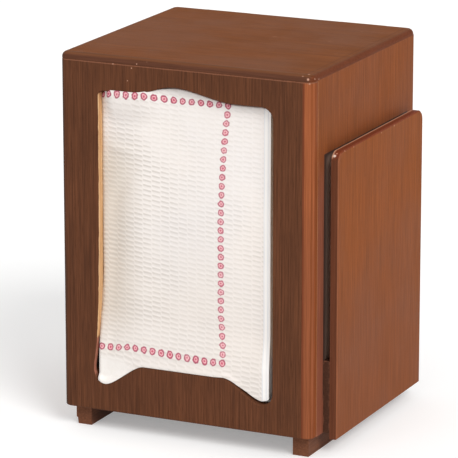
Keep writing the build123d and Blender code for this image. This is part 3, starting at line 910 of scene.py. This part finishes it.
corners = np.array([corner.co for corner in nodes["front_panel"].data.vertices])
off_border = np.minimum(corners[:, 0] - panel_low.x, panel_high.x - corners[:, 0]) > least_frame * mm
window = corners[(corners[:, 1] > panel_high.y - 0.1 * mm) & off_border]
window = window[np.argsort(window[:, 0])]
window_u, window_h = (window[:, 0] - case_x) / mm, window[:, 2] / mm
sill = window[(window_h < sill_limit) & (window_u > sill_reach[0]) & (window_u < sill_reach[1])]
arch = window[(window_h > top_limits[0]) & (window_h < top_limits[1])]
side = window[window_u < side_limit]
side = side[np.argsort(side[:, 2])]
for name, edge in (("sill", sill), ("top", arch), ("left side", side)):
    print(name, len(edge), "corners, z", np.round((edge[:, 2].min() / mm, edge[:, 2].max() / mm), 1))


def sill_at(x):
    """How high the window's sill stands, in metres."""
    return np.interp(x, sill[:, 0], sill[:, 2])


def top_at(x):
    """How high the window's top is, in metres."""
    return np.interp(x, arch[:, 0], arch[:, 2])


def inside_window(x, z):
    """How far a point is above the window's sill and below its top, in millimetres."""
    return (z - sill_at(x)) / mm, (top_at(x) - z) / mm


# %% How the napkins bulge
middle_bulge, more_below, less_above = 3.3, 1.8, 0.4
in_front, lip = 5.6, 0.25
left_limit = -35.6
sill_overlap = 0.2
top_overlap = 0.75


def bulge(x, z, roll_below=0.0, roll_above=0.0):
    """How far a napkin stands out of its plane towards the window, in metres.

    Where it rolls over the window's edge, the rolls being 0 to 1, it comes out in front of the
    panel. In millimetres, u is how far right of the case's middle a point is, and h how high.
    """
    u, h = (x - case_x) / mm, z / mm
    above_sill, below_top = inside_window(x, z)
    # fuller low down, a little flatter near the top, and held back at the sides
    most = middle_bulge + more_below * smooth(h, 46, 28) - less_above * smooth(h, 84, 122)
    left = np.maximum((np.interp(z, side[:, 2], side[:, 0]) - case_x) / mm, left_limit)
    at_side = 0.7 + 0.2 * smooth(h, 60, 30)
    out = most * (at_side + (1 - at_side) * smooth(u, -34, -17)) * (1 - 0.25 * smooth(u, 10, 33))
    # rolled over the edges, where the back of the lip lies just behind its front
    out += (in_front - out) * roll_below * smooth(above_sill, 3.4, 1.6)
    out += (in_front - out) * roll_above * smooth(below_top, 13, 1)
    out -= lip * roll_below * smooth(above_sill, 1.2, 0.5)
    out -= lip * roll_above * smooth(below_top, 1.2, 0.5)
    # and none of it outside the window
    in_notch = 0.6 * smooth(u, 18, 26)
    out *= smooth(u, left - 0.6, left + 0.1) * smooth(u, 35.2, 33.4)
    out *= smooth(above_sill, in_notch, in_notch + 0.45)
    return out * smooth(below_top, 0.0, 1.0 - 0.55 * roll_above) * mm


def rolls(x):
    """How strongly the napkin rolls over the window's sill and over its top."""
    u = (x - case_x) / mm
    return smooth(u, 24, 11), smooth(u, -35, -29) * smooth(u, -4, -18)


def over_edge(gap, overlap):
    """How far a sheet that has just passed an edge slides back over it, in millimetres."""
    return (0.9 + overlap) * smooth(gap, 0.4, 0.9) * np.clip((7 - gap) / 6, 0, 1)


def wrinkles(x, z):
    """The soft creases of the tissue, in metres."""
    out = np.zeros_like(x)
    for middle_x, middle_z, turned, length, width, depth in creases:
        angle = math.radians(turned)
        dx, dz = (x - case_x) / mm - middle_x, z / mm - middle_z
        along = dx * math.cos(angle) + dz * math.sin(angle)
        across = dz * math.cos(angle) - dx * math.sin(angle)
        out += depth * mm * np.exp(-((along / length) ** 2) - (across / width) ** 2)
    held = smooth(np.abs(x - case_x), window_half - 0.5 * mm, window_half - 5 * mm)
    return out * held * smooth(z, 22 * mm, 34 * mm)


# %% [markdown]
# A grid of cells is the flat sheet. Its corners are then carried to where the folds put
# them: across the sheet the path runs from the free edge to the left fold, back to the right
# fold and to the left again. The depth follows from the ply that a corner is in. The rows lie
# closest where the sheet rolls over the edges of the window, and the UV map, which holds each
# corner's place on the flat sheet, is written to match.

# %% Fold the front napkin
ply_pitch = 0.16 * mm
inner_share = 0.96
edge_curl = 0.25 * mm
step_behind_edge = 2.6 * mm
tremble_depth = 0.12 * mm
cells_across = 250
top_rows = (4.3, 8.3)
sill_rows = (107.6, 111.6)
fold_row = 120.0
row_bands = (
    # down the sheet to here, in millimetres, and in how many rows
    (top_rows[0], 8), (top_rows[1], 34), (sill_rows[0], 150),
    (sill_rows[1], 34), (fold_row, 14), (2 * fold_row, 120),
)
row_places = [0.0]
for end, rows in row_bands:
    row_places.extend(np.linspace(row_places[-1], end, rows + 1)[1:])
row_places = np.array(row_places) * mm
even_top = napkin_high.z - 4.7 * mm
even_sill = napkin_high.z - 111.2 * mm


def along_window(x, down):
    """Shifts the rows that lie close together so that they run along the window's edges."""
    at_top = np.interp(down / mm, (0, *top_rows, 30), (0, 1, 1, 0))
    at_sill = np.interp(down / mm, (85, *sill_rows, fold_row), (0, 1, 1, 0))
    return down - at_top * (top_at(x) - even_top) - at_sill * (sill_at(x) - even_sill)


def zigzag(run):
    """Which third a place on the sheet is in, and its x, by how far it is past the left fold."""
    third = np.where(run < 0, 0, np.where(run < fold_width, 1, 2))
    x = np.where(run < 0, -run, np.where(run < fold_width, run, 2 * fold_width - run))
    return third, x + napkin_low.x


def folded(across, down):
    """x, depth and z of the folded sheet, from its flat coordinates in metres."""
    run = across - flap_width
    third, x = zigzag(run)
    inner = down > fold_height
    z = np.where(inner, down - fold_height, fold_height - down)
    plies = np.where(inner, np.choose(third, [1.0, 2.0, 5.0]), np.choose(third, [0.0, 3.0, 4.0]))
    at_left, at_right = np.abs(run) < 0.3 * mm, np.abs(run - fold_width) < 0.3 * mm
    at_bottom = np.abs(down - fold_height) < 0.3 * mm
    plies = np.where(at_bottom, np.choose(third, [0.5, 2.5, 4.5]), plies)
    plies = np.where(at_left, 1.5, np.where(at_right, 3.5, plies))
    return x, plies * ply_pitch, z + napkin_low.z


cells_down = len(row_places) - 1
bpy.ops.mesh.primitive_grid_add(x_subdivisions=cells_across, y_subdivisions=cells_down, size=1)
napkin = bpy.context.object
napkin.name = "folded_front_napkin"
flat = np.array([corner.co for corner in napkin.data.vertices])
across = (flat[:, 0] + 0.5) * sheet_width
down = row_places[np.rint((0.5 - flat[:, 1]) * cells_down).astype(int)]
down = along_window(folded(across, down)[0], down)
x, depth, z = folded(across, down)
on_flap = across < flap_width
outermost = on_flap & (down < fold_height)
roll_below, roll_above = (np.where(outermost, roll, 0.0) for roll in rolls(x))
out = bulge(x, z, roll_below, roll_above) * np.where(outermost, 1.0, inner_share) + wrinkles(x, z)
curl = np.where(on_flap, smooth(x, free_edge - 4 * mm, free_edge), 0.0)
out += edge_curl * curl * smooth(z, 25 * mm, 60 * mm)
behind_edge = smooth(x, free_edge - 2.5 * mm, free_edge + 0.8 * mm)
out -= np.where(on_flap, 0.0, step_behind_edge * behind_edge)
tremble = np.array([noise.noise(Vector((a * 90, b * 90, 0.5))) for a, b in zip(x, z)])
y = napkin_low.y + depth - out - tremble_depth * tremble * smooth(z, 30 * mm, 36 * mm)
above_sill, below_top = inside_window(x, z)
z += roll_above * over_edge(below_top, top_overlap) * mm
z -= roll_below * over_edge(above_sill, sill_overlap) * mm
napkin.data.vertices.foreach_set("co", np.column_stack((x, y, z)).ravel())
napkin.data.update()
flat_sheet = napkin.data.uv_layers[0]
flat_sheet.name = "flat_sheet"
places = np.column_stack((across / sheet_width, 1 - down / sheet_height))
flat_sheet.uv.foreach_set("vector", places[[loop.vertex_index for loop in napkin.data.loops]].ravel())
bpy.ops.object.shade_smooth()
sheet_size = (round(sheet_width / mm, 1), round(sheet_height / mm, 1))
print("front napkin", len(napkin.data.vertices), "corners, sheet", sheet_size)

# %% [markdown]
# ## Tissue with a printed border
# The tissue is pressed into rows of short slanted dashes, about 1.8 mm apart, which catch the
# light as a faint waffle. The border is a line of small printed rings. Both belong to the
# sheet, so they are drawn in its own flat coordinates, which fold with it. A ring is drawn
# from the distance to the middle of the nearest of a row of evenly spaced points. The printing
# ran a little askew, so the column of rings leans near its ends and the rows bend.

# %% Rows of printed rings
ring_radius = 1.1
ring_rows = (
    # runs across or down, where it starts, where it ends, spacing, beside it, how strongly inked
    ("across", 19.2, 74.0, 3.56, 6.3, 1.0),
    ("across", 19.4, 76.0, 3.49, 100.9, 0.9),
    ("down", 9.6, 97.9, 3.27, 19.2, 0.45),
)
lean_below, lean_length, most_lean = 60.0, 53.7, 2.7


def ring_row(finish, along, beside, start, end, pitch):
    """A row of rings: where they are inked, how near their middles, and which ring it is."""
    step = finish.sum("DIVIDE", finish.minus(along, start), pitch)
    number = finish.sum("ROUND", step)
    offset = finish.times(finish.minus(step, number), pitch)
    squares = finish.plus(finish.times(offset, offset), finish.times(beside, beside))
    wobble = finish.between(finish.noise(0.9), 0.25, 0.75, -0.16, 0.16)
    distance = finish.plus(finish.sum("SQRT", squares), wobble)
    disc = finish.times(
        finish.sum("GREATER_THAN", along, start - pitch / 2),
        finish.sum("LESS_THAN", along, end + pitch / 2),
        finish.between(distance, ring_radius + 0.3, ring_radius),
    )
    return disc, distance, number


def print_rings(finish, across, down):
    """Prints the rows of rings: dark rims and eyes, and a pale ring between them."""
    near_top = finish.sum("DIVIDE", finish.minus(lean_below, down), lean_length, clamp=True)
    askew = finish.plus(
        across,
        finish.times(finish.sum("POWER", near_top, 2.5), most_lean),
        finish.between(down, 82.0, 101.0, 0.0, 1.3),
    )
    lowered = finish.within((across, 41.0, 55.0, 0.0, -0.7), (down, 30.0, 20.0))
    bent = finish.within((across, 22.0, 53.0), (across, 64.0, 55.0), (down, 80.0, 95.0))
    wavy = finish.plus(down, finish.plus(lowered, bent))
    for runs, start, end, pitch, at, ink in ring_rows:
        along, beside = (askew, wavy) if runs == "across" else (down, askew)
        beside = finish.minus(beside, at)
        disc, distance, number = ring_row(finish, along, beside, start, end, pitch)
        seed = finish.add("ShaderNodeTexWhiteNoise", None, number, noise_dimensions="1D")
        strength = finish.plus(finish.times(seed, 0.4), ink * 0.6)
        rim = finish.between(distance, ring_radius - 0.45, ring_radius - 0.1)
        eye = finish.between(distance, 0.42, 0.2)
        off_pale = finish.sum("ABSOLUTE", finish.minus(distance, 0.56))
        ring = finish.blend(strength, paint(226, 176, 180), paint(214, 96, 118))
        for share, colour in (
            (finish.between(off_pale, 0.05, 0.2, 0.75, 0.0), (240, 206, 206)),
            (finish.times(eye, 0.5), (186, 84, 108)),
            (finish.times(rim, 0.45 + 0.35 * ink), (154, 84, 102)),
        ):
            ring = finish.blend(share, ring, paint(*colour))
        finish.colour = finish.blend(disc, finish.colour, ring)


# %% Paper finish
row_pitch = 1.8
dash_length = 3.6
plain_strip = 2.7
strip_lines = (1.0, 2.5)


def tissue(name, printed, width, height):
    """Embossed tissue for a sheet of that width and height in metres."""
    finish = Finish(name)
    finish.place()
    sheet_uv = finish.add("ShaderNodeUVMap", uv_map="flat_sheet")
    size_mm = (width / mm, height / mm, 1)
    flat_mm = finish.add("ShaderNodeVectorMath", sheet_uv, size_mm, operation="MULTIPLY")
    across, up, _ = finish.parts(flat_mm)
    down = finish.minus(height / mm, up)

    in_column = finish.minus(finish.sum("FRACT", finish.sum("DIVIDE", across, dash_length)), 0.5)
    row = finish.plus(finish.sum("DIVIDE", down, row_pitch), finish.times(in_column, 0.3))
    ridge = finish.sum("COSINE", finish.times(row, 2 * math.pi))
    gap = finish.between(finish.sum("ABSOLUTE", in_column), 0.36, 0.5, 1.0, 0.3)
    worn = finish.between(finish.noise(0.06, at=flat_mm), 0.3, 0.7, 0.4, 1.0)
    pressed = finish.within((down, 0.0, 60.0, 0.45, 1.0), (across, 25.0, 70.0, 0.8, 1.6))
    pressed = finish.times(worn, pressed)
    if printed:
        smoothed_and_highlit = finish.within((down, 102.0, 107.0), (across, 50.0, 60.0))
        past_strip = finish.between(across, plain_strip - 0.2, plain_strip + 0.2)
        pressed = finish.times(pressed, past_strip, finish.minus(1.0, smoothed_and_highlit))
    emboss = finish.times(ridge, gap, pressed)
    fibre = finish.noise(2.5, at=flat_mm)

    # painted shade in the hollows of the emboss
    painted_hollow_shade = finish.times(finish.between(emboss, 0.1, -1.0), 0.8)
    finish.colour = finish.blend(painted_hollow_shade, paint(239, 232, 227), paint(204, 196, 188))
    cast = finish.noise(0.03, 1.0, at=flat_mm)
    finish.coat(finish.between(cast, 0.35, 0.65, 0.0, 0.3), 230, 227, 228)
    if printed:
        # painted shade on the left of the front napkin, where its bulge turns away from the lamp
        painted_left_shade = finish.within(
            (across, 48.0, 64.0), (down, 14.0, 34.0), (down, 84.0, 102.0, 0.75, 0.1)
        )
        finish.coat(painted_left_shade, 206, 194, 179)
        # painted shade, a beige grey that deepens lower down the front napkin
        finish.coat(finish.between(down, 30.0, 95.0, 0.0, 0.35), 216, 206, 196)
        # a painted highlight: whiter where the napkin bulges into the notch, where the emboss is also
        # flattened
        finish.coat(finish.times(smoothed_and_highlit, 0.6), 248, 244, 240)
        # painted shade on the plies beyond the flap's free edge, in the gap behind the panel's edge
        behind_start, behind_end = 2 * flap_width / mm, 2 * fold_width / mm
        painted_shade_behind_flap = finish.within(
            (across, behind_start - 0.6, behind_start + 0.4),
            (across, behind_end + 1.0, behind_end),
            (down, 36.0, 48.0, 0.3, 0.95),
        )
        finish.coat(painted_shade_behind_flap, 112, 98, 84)
    mottle = finish.noise(0.6, 3.0, 0.7, at=flat_mm)
    finish.coat(finish.between(mottle, 0.35, 0.65, 0.0, 0.12), 214, 202, 190)
    if printed:
        finish.coat(finish.between(across, plain_strip + 0.2, plain_strip - 0.2), 244, 241, 238)
        for line in strip_lines:
            off_line = finish.sum("ABSOLUTE", finish.minus(across, line))
            faint = finish.times(finish.between(off_line, 0.1, 0.3, 0.35, 0.0), worn)
            finish.coat(faint, 176, 182, 200)
        print_rings(finish, across, down)
    finish.bump(finish.plus(emboss, finish.times(fibre, 0.3)), 0.0001, 0.6)
    finish.set(base_color=finish.colour, roughness=0.88, specular_ior_level=0.1)
    return finish


wear(tissue("printed_tissue", True, sheet_width, sheet_height), napkin)
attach(napkin, "case")
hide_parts("front_napkin")

# %% [markdown]
# ## The stack behind it
# Behind the front napkin stand about fifty more, folded the same way. They are seen only as
# edges, from above when the lid is up, so each is modelled as its doubled sheet: a strip of
# paper that runs through the three thirds and has some thickness. Those in front share the
# front napkin's bulge, and it fades towards the pusher. As napkins are used, the pusher
# follows, so each corner of the stack is given a share of that motion, growing evenly from
# its front to its back; nothing in this script applies the shares.

# %% Fold one napkin and stack it
stack_depth = stack_high.y - stack_low.y
napkin_count = 50
napkin_pitch = stack_depth / napkin_count
sheet_step = napkin_pitch / 3
strip_cells, strip_rows = 40, 8
most_shift, most_lift, ripple_depth = 0.5 * mm, 0.5 * mm, 0.15 * mm
bulge_fade = 2.2
paper_share = 0.78

bpy.ops.mesh.primitive_grid_add(x_subdivisions=strip_cells, y_subdivisions=strip_rows, size=1)
model = bpy.context.object
model.data.uv_layers[0].name = "flat_sheet"
flat = np.array([corner.co for corner in model.data.vertices])
third, strip_x = zigzag((flat[:, 0] + 0.5) * sheet_width - flap_width)
up = flat[:, 1] + 0.5
strip_depth = np.choose(third, [0.5, 1.5, 2.5]) * sheet_step
copies = []
for number in range(napkin_count):
    seed = Vector((number * 0.37, 1.7, 4.1))
    shift_x = most_shift * noise.noise(seed)
    lift = most_lift * (1 + noise.noise(seed * 3)) / 2
    x = np.clip(strip_x + shift_x, stack_low.x - 0.3 * mm, stack_high.x + 0.3 * mm)
    z = stack_low.z + up * (stack_high.z - stack_low.z - lift)
    ripple = ripple_depth * np.sin(x * 160 + number * 0.8) * smooth(z, 90 * mm, 130 * mm)
    beside_flap = smooth(x, free_edge - 0.5 * mm, free_edge - 4 * mm)
    shared = bulge(x, z) * smooth(z, 28 * mm, 44 * mm) * beside_flap
    out = (shared + ripple) * (1 - number / napkin_count) ** bulge_fade
    y = stack_low.y + number * napkin_pitch + strip_depth - out
    copies.append(copied(model))
    copies[-1].data.vertices.foreach_set("co", np.column_stack((x, y, z)).ravel())
bpy.data.objects.remove(model)
stack = joined(copies, "folded_napkin_stack")
thicken = stack.modifiers.new("paper", "SOLIDIFY")
thicken.thickness = sheet_step * paper_share
thicken.offset = 0
bpy.ops.object.modifier_apply(modifier="paper")
bpy.ops.object.shade_smooth_by_angle(angle=math.radians(40))
wear(tissue("plain_tissue", False, sheet_width, fold_height), stack)
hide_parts("napkin_stack")
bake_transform(stack)
shares = [min(max((c.co.y - stack_low.y) / stack_depth, 0), 1) for c in stack.data.vertices]
print("stack", napkin_count, "napkins", len(stack.data.polygons), "faces")

# %% [markdown]
# ## Finish
# Looks never change an object's size. The last line brings the scene up to date.

# %% Finish
bpy.context.view_layer.update()
